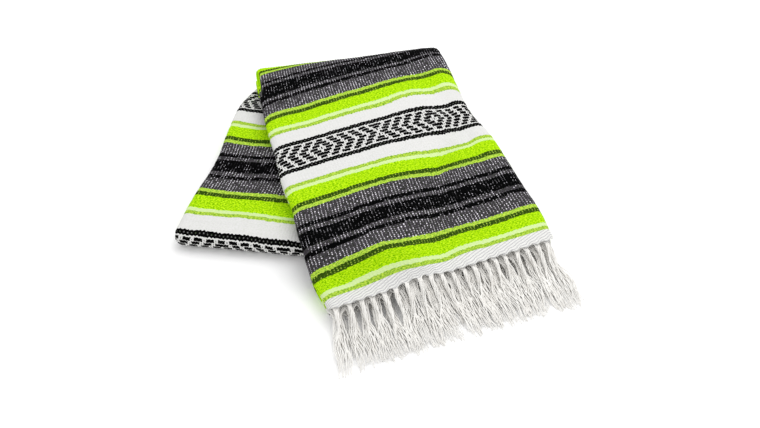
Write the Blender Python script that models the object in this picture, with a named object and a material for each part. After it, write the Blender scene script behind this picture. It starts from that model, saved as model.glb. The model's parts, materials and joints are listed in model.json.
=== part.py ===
"""A falsa blanket, folded into a strip of eight layers and the strip folded over itself.

Metres, +Z up. The blanket lies on the plane Z = 0, and the origin is below the middle of its box.
Plan places are first written from the floor point that the photograph is centred on, and MIDDLE
moves them to the origin.
"""
import math
import random
from collections import namedtuple

import bmesh
import bpy
import numpy as np

# Driving dimensions
MIDDLE = (-0.0107, 0.0309)
STACK = 0.030
CLOTH = 0.0030
SEAM = 0.0003
LAYER_GAP = 0.00045
HALF = STACK / 2
ROLL_AXIS_Z = STACK + SEAM / 2
SIDE_ROUND = 0.0110
FALL = 0.060
UNDER_FALL = 0.030
UNDER_START = 0.019
OPEN_SIDE_PLIES = 4
PLY_GROOVE = 0.0014
OPEN_SIDE_STEP = 0.0040
FOLD_SIDE_STEP = 0.0015
CORE_VOID = 0.0020

# One row for each section of an arm: its outermost left and right points in plan
Section = namedtuple("Section", "left_x left_y right_x right_y")

# The arm on top, from its hem up to the axis of the top fold
FRONT_ARM = [
    Section(-0.062, -0.174, 0.237, -0.059),
    Section(-0.089, -0.127, 0.223, -0.009),
    Section(-0.104, -0.082, 0.204, 0.039),
    Section(-0.113, -0.028, 0.184, 0.096),
    Section(-0.130, 0.016, 0.169, 0.136),
    Section(-0.146, 0.069, 0.147, 0.173),
    Section(-0.162, 0.117, 0.126, 0.220),
    Section(-0.174, 0.156, 0.112, 0.258),
    Section(-0.195, 0.241, 0.100, 0.292),
]

# The arm on the floor, from its end fold up to the axis of the top fold
BACK_ARM = [
    Section(-0.281, -0.048, 0.032, -0.084),
    Section(-0.268, 0.010, 0.050, -0.010),
    Section(-0.249, 0.079, 0.068, 0.070),
    Section(-0.235, 0.150, 0.084, 0.170),
    Section(-0.220, 0.200, 0.093, 0.240),
    Section(-0.201, 0.2400, 0.100, 0.292),
]

# The largest soft ridges and hollows of the arm on top, in plan, with the run of each in degrees
Fold = namedtuple("Fold", "x y run length width height")
FRONT_FOLDS = [
    Fold(0.118, 0.195, -62, 0.150, 0.018, 0.0045),
    Fold(0.088, 0.185, -62, 0.150, 0.018, -0.0035),
    Fold(0.165, 0.090, -62, 0.120, 0.020, 0.0025),
    Fold(-0.040, -0.060, 15, 0.110, 0.026, -0.0025),
    Fold(-0.110, 0.200, 8, 0.120, 0.022, -0.0020),
    Fold(0.020, 0.060, -66, 0.160, 0.024, 0.0015),
]

# One row for each tier of fringe. root_up is the header's height in the folded stack, lie_z the
# height its strands lie at, and from first_drop to last_drop they come down to the floor
Tier = namedtuple("Tier", "name bundles strands root_up lie_z first_drop last_drop reach spread")
TIERS = [
    Tier("fringe_top", 20, 3, 0.0272, 0.0068, 0.073, 0.088, 0.085, 0.0050),
    Tier("fringe_middle", 18, 2, 0.0140, 0.0042, 0.057, 0.070, 0.069, 0.0020),
    Tier("fringe_low", 18, 2, 0.0045, 0.0017, 0.045, 0.055, 0.046, 0.0020),
]
STRAND = 0.0023
STRAND_GAP = 0.0009
FLOOR_CLEAR = 0.0017
STRAND_STOPS = (0.14, 0.36, 0.66, 1.0)
HEADER_DEEP = 0.0032
HEADER_HIGH = 0.0034
FRINGE_SLOPE = 0.042
FAN_LEFT, FAN_MIDDLE, FAN_RIGHT = -77.0, -63.0, -67.0
RIGHT_LONGER = 0.14

COLOURS = {
    "front_arm_cloth": (0.36, 0.72, 0.02),
    "top_fold_cloth": (0.08, 0.07, 0.08),
    "front_arm_layers": (0.28, 0.56, 0.03),
    "back_arm_cloth": (0.10, 0.09, 0.10),
    "back_arm_layers": (0.70, 0.70, 0.71),
    "fringe_top": (0.78, 0.78, 0.76),
    "fringe_middle": (0.62, 0.62, 0.60),
    "fringe_low": (0.52, 0.52, 0.50),
}


def smooth(value):
    """Ease from 0 to 1, flat at both ends."""
    value = min(max(value, 0.0), 1.0)
    return value * value * (3.0 - 2.0 * value)


class Arm:
    """An arm's plan, read from its rows along one smooth line for each side."""

    def __init__(self, rows):
        self.rows = np.array(rows)
        middle = (self.rows[:, 0:2] + self.rows[:, 2:4]) / 2
        steps = np.linalg.norm(np.diff(middle, axis=0), axis=1)
        self.stops = np.concatenate([[0.0], np.cumsum(steps)])
        self.length = self.stops[-1]
        self.slopes = np.gradient(self.rows, self.stops, axis=0)

    def sides(self, along):
        """Left and right plan points at a distance along the arm's middle."""
        last = len(self.stops) - 2
        i = min(int(np.searchsorted(self.stops, along, side="right")) - 1, last)
        i = max(i, 0)
        width = self.stops[i + 1] - self.stops[i]
        t = (along - self.stops[i]) / width
        start = self.rows[i] * (2 * t**3 - 3 * t**2 + 1) + self.slopes[i] * width * (t**3 - 2 * t**2 + t)
        end = self.rows[i + 1] * (3 * t**2 - 2 * t**3) + self.slopes[i + 1] * width * (t**3 - t**2)
        row = start + end
        return row[0:2], row[2:4]


FRONT = Arm(FRONT_ARM)
BACK = Arm(BACK_ARM)

# Distances along each arm, and turns in degrees round its fold, that its sections are made at
HEM_RECESS = 0.003
FRONT_COLUMNS = 14
BACK_COLUMNS = 10
FRONT_STATIONS = [0.0, HEM_RECESS] + [(FRONT.length - SEAM) * i / 16 for i in range(1, 17)]
BACK_STATIONS = [(BACK.length - SEAM) * i / 10 for i in range(10, -1, -1)]
ROLL_TURNS = [20.0 * i for i in range(10)]
END_TURNS = (25.0, 50.0, 75.0, 100.0, 125.0, 150.0, 180.0)


def outside_back_arm(x, y):
    """Distance in plan from the back arm's own area, beyond its right side and its end fold."""
    rows = BACK.rows
    right_x = float(np.interp(y, rows[:, 3], rows[:, 2]))
    beyond_side = max((x - right_x) * math.cos(math.radians(12)), 0.0)
    left, right = rows[0, 0:2], rows[0, 2:4]
    run = (right - left) / np.linalg.norm(right - left)
    below_end = (x - left[0]) * run[1] - (y - left[1]) * run[0] - HALF
    return math.hypot(beyond_side, max(below_end, 0.0))


def front_height(x, y, up):
    """Height of a point of the arm on top: over the other arm, then down to the floor past it."""
    outside = outside_back_arm(x, y)
    lifted = (STACK + SEAM) * (1.0 - smooth(outside / FALL))
    if up >= HALF:
        return lifted + up
    under = (STACK + SEAM) * (1.0 - smooth((outside - UNDER_START) / UNDER_FALL))
    return under + (lifted + HALF - under) * up / HALF


def fold_height(folds, x, y):
    """Height that the soft ridges and hollows add at a place in plan."""
    height = 0.0
    for fold in folds:
        run = math.radians(fold.run)
        along = (x - fold.x) * math.cos(run) + (y - fold.y) * math.sin(run)
        across = -(x - fold.x) * math.sin(run) + (y - fold.y) * math.cos(run)
        fade = math.exp(-((along / (fold.length / 2)) ** 2) - (across / fold.width) ** 2)
        height += fold.height * fade
    return height


def arc(centre, radii, start, end, count):
    """Points of an elliptical arc, angles in degrees."""
    points = []
    for i in range(count):
        angle = math.radians(start + (end - start) * i / (count - 1))
        across = centre[0] + radii[0] * math.cos(angle)
        up = centre[1] + radii[1] * math.sin(angle)
        points.append((across, up))
    return points


def cover_outline(width, inset, columns):
    """Section of the outer layer: round the left fold, over the top, round the right fold."""
    quarter = STACK / 4
    radii = (SIDE_ROUND - inset, quarter - inset)
    left = arc((SIDE_ROUND, STACK - quarter), radii, 245, 90, 6)
    right = arc((width - SIDE_ROUND, STACK - quarter), radii, 90, -65, 6)
    top = []
    for i in range(1, columns):
        across = SIDE_ROUND + (width - 2 * SIDE_ROUND) * i / columns
        top.append((across, STACK - inset))
    return left + top + right


def layers_outline(width, columns):
    """Closed section of the hidden layers: one round fold at the left, open plies at the right."""
    inset = CLOTH + LAYER_GAP
    quarter = STACK / 4
    radii = (SIDE_ROUND - inset, quarter - inset)
    neck = SIDE_ROUND + SEAM
    points = arc((FOLD_SIDE_STEP + SIDE_ROUND, quarter - SEAM), (SIDE_ROUND, quarter - SEAM), 270, 95, 6)
    points.append((neck, HALF - SEAM))
    points += arc((SIDE_ROUND, STACK - quarter), radii, 245, 90, 6)
    for i in range(1, columns):
        across = SIDE_ROUND + (width - 2 * SIDE_ROUND) * i / columns
        points.append((across, STACK - inset))
    points += arc((width - SIDE_ROUND, STACK - quarter), radii, 90, -65, 6)
    points.append((width - neck, HALF - SEAM))
    ply = (HALF - SEAM) / OPEN_SIDE_PLIES
    edge = width - OPEN_SIDE_STEP
    for k in range(OPEN_SIDE_PLIES):
        top = HALF - SEAM - k * ply
        shift = edge - 0.0012 * (k % 2)
        if k > 0:
            points.append((shift - PLY_GROOVE, top))
        points.append((shift, top - 0.28 * ply))
        points.append((shift, top - 0.72 * ply))
    points.append((edge - PLY_GROOVE, 0.0))
    start = SIDE_ROUND + FOLD_SIDE_STEP
    for i in range(1, columns):
        points.append((edge - PLY_GROOVE + (start - edge + PLY_GROOVE) * i / columns, 0.0))
    return points


def in_plan(sides, across):
    """Plan point at a distance across from the left side, with the section's direction."""
    left, right = sides
    width = float(np.linalg.norm(right - left))
    return left + (right - left) * (across / width)


def front_ring(along, turn, outline):
    """One section of the arm on top, in space, turned about the top fold's axis past its end."""
    sides = FRONT.sides(along)
    left, right = sides
    run = (right - left) / np.linalg.norm(right - left)
    back = np.array([-run[1], run[0]])
    ring = []
    for across, up in outline:
        place = in_plan(sides, across)
        height = front_height(place[0], place[1], up)
        lift = fold_height(FRONT_FOLDS, place[0], place[1]) * smooth((up - HALF) / HALF)
        height += lift * (1.0 - smooth(turn / 60.0))
        if turn > 0.0:
            void = CORE_VOID * min(turn / 45.0, 1.0)
            reach = max(height - ROLL_AXIS_Z, void)
            angle = math.radians(turn)
            place = place + back * reach * math.sin(angle)
            height = ROLL_AXIS_Z + reach * math.cos(angle)
        ring.append((place[0], place[1], height))
    return ring


def back_ring(along, turn, outline):
    """One section of the arm on the floor, turned down about its end fold's axis."""
    sides = BACK.sides(along)
    left, right = sides
    run = (right - left) / np.linalg.norm(right - left)
    front = np.array([run[1], -run[0]])
    ring = []
    for across, up in outline:
        place = in_plan(sides, across)
        height = up
        if turn > 0.0:
            void = CORE_VOID * min(turn / 45.0, 1.0)
            reach = max(height - HALF, void)
            angle = math.radians(turn)
            place = place + front * reach * math.sin(angle)
            height = HALF + reach * math.cos(angle)
        ring.append((place[0], place[1], height))
    return ring


def back_end_ring(offset, outline):
    """Section of the hidden layers inside the end fold, lower the further out it lies."""
    left, right = BACK.sides(0.0)
    run = (right - left) / np.linalg.norm(right - left)
    front = np.array([run[1], -run[0]])
    full = HALF - CLOTH - LAYER_GAP
    share = math.sqrt(max(1.0 - (offset / full) ** 2, 0.0))
    width = float(np.linalg.norm(right - left))
    ring = []
    for across, up in outline:
        narrower = max(offset / full, 0.0) + (0.45 if up < HALF else 0.0)
        squeeze = 1.0 - 2.0 * SIDE_ROUND * min(narrower, 1.1) / width
        inward = width / 2 + (across - width / 2) * squeeze
        place = in_plan((left, right), inward) + front * offset
        rise = min(max(up - HALF, -full), full)
        ring.append((place[0], place[1], HALF + rise * share))
    return ring


def new_object(name, bm):
    """Put a mesh into the scene under a node's name, with its own cloth material."""
    for vertex in bm.verts:
        vertex.co.x -= MIDDLE[0]
        vertex.co.y -= MIDDLE[1]
    bmesh.ops.recalc_face_normals(bm, faces=bm.faces)
    mesh = bpy.data.meshes.new(name)
    bm.to_mesh(mesh)
    bm.free()
    mesh.shade_smooth()
    mesh.set_sharp_from_angle(angle=math.radians(40))
    material = bpy.data.materials.new(name + "_yarn")
    material.use_nodes = True
    shader = material.node_tree.nodes["Principled BSDF"]
    shader.inputs["Base Color"].default_value = (*COLOURS[name], 1.0)
    shader.inputs["Roughness"].default_value = 0.92
    shader.inputs["Metallic"].default_value = 0.0
    mesh.materials.append(material)
    obj = bpy.data.objects.new(name, mesh)
    bpy.context.scene.collection.objects.link(obj)
    return obj


def wall(name, outer, inner):
    """A cloth wall between an outer and an inner grid of points."""
    bm = bmesh.new()
    skins = []
    for grid in (outer, inner):
        skins.append([[bm.verts.new(point) for point in ring] for ring in grid])
    out, back = skins
    rows, columns = len(outer), len(outer[0])
    for i in range(rows - 1):
        for j in range(columns - 1):
            bm.faces.new((out[i][j], out[i][j + 1], out[i + 1][j + 1], out[i + 1][j]))
            bm.faces.new((back[i][j], back[i + 1][j], back[i + 1][j + 1], back[i][j + 1]))
    for j in range(columns - 1):
        for i in (0, rows - 1):
            bm.faces.new((out[i][j], back[i][j], back[i][j + 1], out[i][j + 1]))
    for i in range(rows - 1):
        for j in (0, columns - 1):
            bm.faces.new((out[i][j], back[i][j], back[i + 1][j], out[i + 1][j]))
    return new_object(name, bm)


def solid(name, rings):
    """A closed solid through rings of points, with a flat cap at each end."""
    bm = bmesh.new()
    loops = [[bm.verts.new(point) for point in ring] for ring in rings]
    count = len(rings[0])
    for first, second in zip(loops, loops[1:]):
        for j in range(count):
            k = (j + 1) % count
            bm.faces.new((first[j], first[k], second[k], second[j]))
    for loop in (loops[0], loops[-1]):
        bm.faces.new(loop)
    bmesh.ops.triangulate(bm, faces=[face for face in bm.faces if len(face.verts) > 4])
    return new_object(name, bm)


def front_width(along):
    """Width of the arm on top at a distance from its hem."""
    left, right = FRONT.sides(along)
    return float(np.linalg.norm(right - left))


def back_width(along):
    """Width of the arm on the floor at a distance from its end fold."""
    left, right = BACK.sides(along)
    return float(np.linalg.norm(right - left))


def build_front_cloth():
    """The outer layer of the arm on top, from its hem to the top fold."""
    grids = []
    for inset in (0.0, CLOTH):
        rings = []
        for along in FRONT_STATIONS:
            outline = cover_outline(front_width(along), inset, FRONT_COLUMNS)
            rings.append(front_ring(along, 0.0, outline))
        grids.append(rings)
    wall("front_arm_cloth", *grids)


def build_top_fold():
    """The same layer over the top fold and down to the floor behind."""
    along = FRONT.length
    grids = []
    for inset in (0.0, CLOTH):
        outline = cover_outline(front_width(along), inset, FRONT_COLUMNS)
        grids.append([front_ring(along, turn, outline) for turn in ROLL_TURNS])
    wall("top_fold_cloth", *grids)


def build_front_layers():
    """The seven layers under it, on the other arm and round the top fold."""
    rings = []
    for along in FRONT_STATIONS[1:]:
        outline = layers_outline(front_width(along), FRONT_COLUMNS)
        rings.append(front_ring(along, 0.0, outline))
    outline = layers_outline(front_width(FRONT.length), FRONT_COLUMNS)
    for turn in ROLL_TURNS[1:]:
        rings.append(front_ring(FRONT.length, turn, outline))
    solid("front_arm_layers", rings)


def build_back_cloth():
    """The outer layer of the arm on the floor, round the blanket's centre fold to the floor."""
    stations = [(along, 0.0) for along in BACK_STATIONS] + [(0.0, turn) for turn in END_TURNS]
    grids = []
    for inset in (0.0, CLOTH):
        rings = []
        for along, turn in stations:
            outline = cover_outline(back_width(along), inset, BACK_COLUMNS)
            rings.append(back_ring(along, turn, outline))
        grids.append(rings)
    wall("back_arm_cloth", *grids)


def build_back_layers():
    """The layers under it, flat where they rest on the floor."""
    rings = []
    for along in BACK_STATIONS[:-1] + [2 * SEAM]:
        outline = layers_outline(back_width(along), BACK_COLUMNS)
        rings.append(back_ring(along, 0.0, outline))
    full = HALF - CLOTH - LAYER_GAP
    for share in (-SEAM / full, 0.45, 0.75, 0.95):
        rings.append(back_end_ring(full * share, layers_outline(back_width(0.0), BACK_COLUMNS)))
    solid("back_arm_layers", rings)


def fringe_direction(share):
    """Unit direction in plan that the fringe runs in, at a share of the hem from the left."""
    angle = float(np.interp(share, (0.0, 0.5, 1.0), (FAN_LEFT, FAN_MIDDLE, FAN_RIGHT)))
    return np.array([math.cos(math.radians(angle)), math.sin(math.radians(angle))])


def fringe_height(tier, root_z, distance):
    """Height of a strand's middle at a distance out from its header."""
    slope = 1.0 - smooth(distance / FRINGE_SLOPE)
    end = 1.0 - smooth((distance - tier.first_drop) / (tier.last_drop - tier.first_drop))
    lie = FLOOR_CLEAR + (tier.lie_z - FLOOR_CLEAR) * end
    return lie + (root_z - lie) * slope


def build_fringe(tier, chance):
    """One tier of fringe: a header strip along the hem, and its strands drawn out of its face."""
    left, right = FRONT.sides(0.0)
    width = float(np.linalg.norm(right - left))
    run = (right - left) / width
    out = np.array([run[1], -run[0]])
    first, last = SIDE_ROUND, width - SIDE_ROUND
    pitch = (last - first) / tier.bundles
    bundle = tier.strands * STRAND + (tier.strands - 1) * STRAND_GAP
    cuts = [first]
    strands = []
    for b in range(tier.bundles):
        start = first + b * pitch + (pitch - bundle) / 2
        drift = chance.uniform(-1.0, 1.0) * (pitch - bundle - STRAND_GAP) / 2
        for s in range(tier.strands):
            cuts += [start + s * (STRAND + STRAND_GAP), start + s * (STRAND + STRAND_GAP) + STRAND]
            bend = (s - (tier.strands - 1) / 2) * STRAND_GAP * chance.uniform(0.0, 0.5)
            length = tier.reach + chance.uniform(-1.0, 1.0) * tier.spread
            strands.append((len(cuts) - 2, drift + bend, length))
    cuts.append(last)
    near, far = SEAM, SEAM + HEADER_DEEP
    bm = bmesh.new()
    corners = []
    for across in cuts:
        base = left + run * across
        root_z = front_height(base[0], base[1], tier.root_up)
        row = []
        for distance, side in ((near, -1), (near, 1), (far, 1), (far, -1)):
            place = base + out * distance
            row.append(bm.verts.new((place[0], place[1], root_z + side * HEADER_HIGH / 2)))
        corners.append(row)
    rooted = {strand[0] for strand in strands}
    for i in range(len(cuts) - 1):
        one, two = corners[i], corners[i + 1]
        for a, b in ((0, 1), (1, 2), (2, 3), (3, 0)):
            if (a, b) == (2, 3) and i in rooted:
                continue
            bm.faces.new((one[a], one[b], two[b], two[a]))
    bm.faces.new(corners[0])
    bm.faces.new(corners[-1])
    for cut, drift, length in strands:
        share = (cuts[cut] - first) / (last - first)
        way = fringe_direction(share)
        scale = 1.0 + RIGHT_LONGER * share * share
        base = left + run * (cuts[cut] + STRAND / 2)
        root_z = front_height(base[0], base[1], tier.root_up)
        middle = base + out * far
        ring = [corners[cut][2], corners[cut + 1][2], corners[cut + 1][3], corners[cut][3]]
        for stop in STRAND_STOPS:
            place = middle + way * length * scale * stop + run * drift * smooth(stop)
            height = fringe_height(tier, root_z, length * stop)
            half = STRAND / 2 * (1.0 - 0.35 * stop)
            corner_places = ((-half, half), (half, half), (half, -half), (-half, -half))
            new_ring = []
            for side, up in corner_places:
                spot = place + run * side
                new_ring.append(bm.verts.new((spot[0], spot[1], height + up)))
            for k in range(4):
                n = (k + 1) % 4
                bm.faces.new((ring[k], ring[n], new_ring[n], new_ring[k]))
            ring = new_ring
        bm.faces.new(ring)
    new_object(tier.name, bm)


for old in list(bpy.data.objects):
    bpy.data.objects.remove(old, do_unlink=True)
build_front_cloth()
build_top_fold()
build_front_layers()
build_back_cloth()
build_back_layers()
for number, tier_row in enumerate(TIERS):
    build_fringe(tier_row, random.Random(number + 5))
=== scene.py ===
import json
import math
import random
from collections import namedtuple
from functools import partial

import bpy
import numpy as np
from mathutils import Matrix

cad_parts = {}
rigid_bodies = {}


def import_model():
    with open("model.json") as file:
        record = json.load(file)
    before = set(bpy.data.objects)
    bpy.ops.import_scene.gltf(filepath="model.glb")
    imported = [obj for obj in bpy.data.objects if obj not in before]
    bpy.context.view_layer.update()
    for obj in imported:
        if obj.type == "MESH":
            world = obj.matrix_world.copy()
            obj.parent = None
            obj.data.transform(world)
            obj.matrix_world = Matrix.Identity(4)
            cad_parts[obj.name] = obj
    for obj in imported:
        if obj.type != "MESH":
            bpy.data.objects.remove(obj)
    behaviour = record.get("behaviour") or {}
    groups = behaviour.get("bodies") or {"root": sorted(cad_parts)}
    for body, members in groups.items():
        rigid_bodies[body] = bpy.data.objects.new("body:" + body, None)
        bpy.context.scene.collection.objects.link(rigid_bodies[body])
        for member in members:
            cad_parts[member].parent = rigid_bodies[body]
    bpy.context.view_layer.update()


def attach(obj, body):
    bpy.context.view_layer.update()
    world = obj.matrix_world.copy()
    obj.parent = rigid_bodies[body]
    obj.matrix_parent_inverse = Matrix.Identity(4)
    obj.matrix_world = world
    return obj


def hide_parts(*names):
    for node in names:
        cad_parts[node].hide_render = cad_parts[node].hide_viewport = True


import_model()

# Cloth of the arm on top
# The outermost of the eight layers, from its hem over the top fold and down behind. Thick recycled
# acrylic and cotton weft on a white cotton warp, woven plain in stripes. It is held by nothing and
# lies folded on the layers under it.
MIDDLE = np.array([-0.0107, 0.0309])
STACK = 0.030
SEAM = 0.0003
HALF = STACK / 2
QUARTER = STACK / 4
ROLL_AXIS_Z = STACK + SEAM / 2
SIDE_ROUND = 0.0110
COVER_WRAP = 155
BACK_SIDE_LEAN = 12
FALL = 0.060
UNDER_FALL = 0.030
UNDER_START = 0.019
STRIP_WIDTH = 0.3175
HEM_OUT = 0.0060
HEM_LIP = 0.0015
HEM_PULL = 0.0011
HEM_PULL_RUN = 0.012
SIDE_TUCK = 0.85
SIDE_TUCK_RUN = 0.010
BUNDLES = 20
FRINGE_SIDE = 0.0050
WARP_RIB = 0.0044
RIB_RISE = 0.00022
UNEVEN_PICKS = 0.0004
UNEVEN_RIBS = 0.0003
GRID_STEP = 0.00137
LIME, LIME_EDGE, LIME_MOTTLED, LIME_PALE = "#b6e708", "#b8d850", "#b2d24e", "#d2e8a4"
GREEN_BLACK, GREY, BLACK, WHITE = "#3c5812", "#48434a", "#040405", "#dfdedd"
# The lime's shade and its yellow are the painted shade and the painted highlight of the flecks
WARP_WHITE, LIME_HIGHLIGHT, LIME_SHADE = "#f4f0f8", "#daf83c", "#90bc6a"
CORD_WHITE, CORD_SHADE = "#ecece8", "#a5a2aa"

# One row for each section of an arm: its outermost left and right points in plan, measured from the
# floor point that the photograph is centred on. MIDDLE moves them to the part's origin
Section = namedtuple("Section", "left_x left_y right_x right_y")
FRONT_ARM = [
    Section(-0.068, -0.175, 0.236, -0.059),
    Section(-0.092, -0.128, 0.223, -0.009),
    Section(-0.108, -0.083, 0.204, 0.039),
    Section(-0.122, -0.030, 0.184, 0.096),
    Section(-0.139, 0.014, 0.169, 0.136),
    Section(-0.152, 0.067, 0.147, 0.173),
    Section(-0.167, 0.115, 0.126, 0.220),
    Section(-0.177, 0.155, 0.112, 0.258),
    Section(-0.1955, 0.2380, 0.0985, 0.2915),
]
BACK_ARM = [
    Section(-0.281, -0.048, 0.032, -0.084),
    Section(-0.266, 0.010, 0.050, -0.010),
    Section(-0.243, 0.080, 0.068, 0.070),
    Section(-0.232, 0.150, 0.084, 0.170),
    Section(-0.2205, 0.2012, 0.093, 0.240),
    Section(-0.1995, 0.2405, 0.100, 0.292),
]

# Soft ridges and hollows in plan, with the run of each in degrees. They fade out as the cloth turns
# down over the top fold, within so many degrees
FRONT_FOLDS_FADE = 120.0
Fold = namedtuple("Fold", "x y run length width height")
FRONT_FOLDS = [
    Fold(0.118, 0.195, -62, 0.150, 0.018, 0.0045),
    Fold(0.088, 0.185, -62, 0.150, 0.018, -0.0035),
    Fold(0.165, 0.090, -62, 0.120, 0.020, 0.0025),
    Fold(-0.040, -0.060, 15, 0.110, 0.026, -0.0025),
    Fold(-0.110, 0.200, 8, 0.120, 0.022, -0.0020),
    Fold(0.020, 0.060, -66, 0.160, 0.024, 0.0015),
    Fold(0.050, 0.288, 5, 0.110, 0.030, 0.0030),
]

# Where lines of the weave cross the arm on top. c is the line's distance from the hem along the
# cloth, and the others its distance along the arm at that share of the way across, all in mm
FrontLine = namedtuple(
    "FrontLine", "c at_0 at_10 at_20 at_30 at_40 at_50 at_60 at_65 at_70 at_75 at_80 at_90 at_100"
)
FRONT_SHARES = (0.0, 0.10, 0.20, 0.30, 0.40, 0.50, 0.60, 0.65, 0.70, 0.75, 0.80, 0.90, 1.0)
FRONT_LINES = [
    FrontLine(0.0, -6, -6, -6, -6, -6, -6, -6, -6, -6, -6, -6, -6, -6),
    FrontLine(17.2, 7, 8.5, 8.5, 7, 3, 7, 11.5, 12, 11, 11, 11, 11, 10.5),
    FrontLine(30.2, 19.5, 21, 21, 18.5, 12.5, 19, 25.5, 25.5, 24.5, 24, 23.5, 24.5, 23),
    FrontLine(52.7, 37.5, 37, 35.5, 35, 29.5, 37, 44.5, 45, 43.5, 43.5, 43, 45, 43.5),
    FrontLine(66.2, 50, 48.5, 46.5, 46.5, 41.5, 49, 57.5, 58, 57, 56.5, 56.5, 58.5, 57),
    FrontLine(87.7, 66, 64, 64, 69.5, 68, 69, 77, 81, 81.5, 82, 81.5, 84, 82),
    FrontLine(100.2, 78.5, 77.5, 79, 84, 82.5, 81.5, 88.5, 93.5, 95, 96, 96.5, 97, 95),
    FrontLine(125.2, 99, 100.5, 102, 105, 103.5, 100.5, 106, 112, 117, 120, 119.5, 119, 118.5),
    FrontLine(159.2, 138, 140.5, 141, 143, 142.5, 138.5, 133.5, 137.5, 145.5, 151, 154.5, 152.5, 150),
    FrontLine(195.2, 174, 176, 176, 176.5, 175.5, 173, 167, 164.5, 168, 175.5, 183, 189.5, 187),
    FrontLine(208.2, 186.5, 188, 188, 188.5, 187.5, 186, 181.5, 177.5, 179, 184.5, 191, 200.5, 200),
    FrontLine(233.9, 210.5, 211.5, 213.5, 214, 214.5, 214.5, 212.5, 211, 208.5, 209, 217, 228.5, 230),
    FrontLine(278.5, 255, 257.5, 258.5, 261, 262, 263.5, 266, 267, 266.5, 265.5, 261.5, 270, 279),
    FrontLine(304.2, 282, 285, 284.5, 288, 290, 290.5, 292.5, 296, 298, 297, 294.5, 294, 298),
    FrontLine(317.2, 295.5, 298, 298, 301.5, 303, 305.5, 307.5, 310.5, 311, 311, 308.5, 307.5, 309.5),
    FrontLine(339.7, 314, 319.5, 319, 323.5, 325.5, 327, 329, 330.5, 331, 331, 330.5, 328.5, 324.5),
    FrontLine(353.2, 328, 333.5, 333, 337, 339.5, 340.5, 343, 344, 344, 344, 343, 341.5, 336.5),
    FrontLine(378.0, 351, 356.5, 362, 365.5, 368, 371, 374, 375.5, 376.5, 378, 382, 390.5, 395),
    FrontLine(412.2, 379, 384, 388.5, 393, 397, 401, 404, 405.5, 407, 409, 411.5, 419, 425),
    FrontLine(446.2, 398, 404, 410, 416.5, 423, 430, 436, 439, 441, 443, 446, 454, 460),
    FrontLine(459.7, 406.5, 413, 420, 427.5, 435, 443, 450, 453, 455.5, 458, 461, 469, 475),
]


def smooth(value):
    """Ease from 0 to 1, flat at both ends."""
    value = np.clip(value, 0.0, 1.0)
    return value * value * (3.0 - 2.0 * value)


def smooth_curve(stops, rows, at):
    """Values at places along a smooth curve through the rows of values at its stops."""
    slopes = np.gradient(rows, stops, axis=0)
    i = np.clip(np.searchsorted(stops, at, side="right") - 1, 0, len(stops) - 2)
    step = (stops[i + 1] - stops[i])[..., None]
    t = (at - stops[i])[..., None] / step
    start = rows[i] * (2 * t**3 - 3 * t**2 + 1) + slopes[i] * step * (t**3 - 2 * t**2 + t)
    end = rows[i + 1] * (3 * t**2 - 2 * t**3) + slopes[i + 1] * step * (t**3 - t**2)
    return start + end


class Arm:
    """An arm's plan, read from its rows along one smooth line for each side."""

    def __init__(self, rows):
        self.rows = np.array(rows)
        middle = (self.rows[:, 0:2] + self.rows[:, 2:4]) / 2
        steps = np.linalg.norm(np.diff(middle, axis=0), axis=1)
        self.stops = np.concatenate([[0.0], np.cumsum(steps)])
        self.length = self.stops[-1]

    def sides(self, along):
        """Left and right plan points at distances along the arm's middle."""
        row = smooth_curve(self.stops, self.rows, np.asarray(along, float))
        return row[..., 0:2], row[..., 2:4]


FRONT = Arm(FRONT_ARM)
BACK = Arm(BACK_ARM)


def outside_back_arm(x, y):
    """Distance in plan from the back arm's own area, beyond its right side and its end fold."""
    rows = BACK.rows
    right_x = np.interp(y, rows[:, 3], rows[:, 2])
    beyond_side = np.maximum((x - right_x) * math.cos(math.radians(BACK_SIDE_LEAN)), 0.0)
    left, right = rows[0, 0:2], rows[0, 2:4]
    run = (right - left) / np.linalg.norm(right - left)
    below_end = (x - left[0]) * run[1] - (y - left[1]) * run[0] - HALF
    return np.hypot(beyond_side, np.maximum(below_end, 0.0))


def front_height(x, y, up):
    """Height of a point of the arm on top: over the other arm, then down to the floor past it."""
    outside = outside_back_arm(x, y)
    lifted = (STACK + SEAM) * (1.0 - smooth(outside / FALL))
    under = (STACK + SEAM) * (1.0 - smooth((outside - UNDER_START) / UNDER_FALL))
    lower_half = under + (lifted + HALF - under) * up / HALF
    return np.where(up >= HALF, lifted + up, lower_half)


def fold_height(folds, x, y):
    """Height that the soft ridges and hollows add at places in plan."""
    height = np.zeros(np.broadcast(x, y).shape)
    for fold in folds:
        run = math.radians(fold.run)
        along = (x - fold.x) * math.cos(run) + (y - fold.y) * math.sin(run)
        across = -(x - fold.x) * math.sin(run) + (y - fold.y) * math.cos(run)
        height += fold.height * np.exp(-((along / (fold.length / 2)) ** 2) - (across / fold.width) ** 2)
    return height


def front_point(along, across, up, turn=0.0):
    """Points of the arm on top, turned in degrees about the top fold's axis past its end."""
    along, across, up, turn = np.broadcast_arrays(along, across, up, turn)
    left, right = FRONT.sides(along)
    width = np.linalg.norm(right - left, axis=-1)[..., None]
    run = (right - left) / width
    back = np.stack([-run[..., 1], run[..., 0]], -1)
    place = left + run * across[..., None]
    height = front_height(place[..., 0], place[..., 1], up)
    lift = fold_height(FRONT_FOLDS, place[..., 0], place[..., 1]) * smooth((up - HALF) / HALF)
    height = height + lift * (1.0 - smooth(turn / FRONT_FOLDS_FADE))
    reach = height - ROLL_AXIS_Z
    angle = np.radians(turn)
    place = np.where(turn[..., None] > 0, place + back * (reach * np.sin(angle))[..., None], place)
    height = np.where(turn > 0, ROLL_AXIS_Z + reach * np.cos(angle), height)
    return np.concatenate([place - MIDDLE, height[..., None]], -1)


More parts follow.
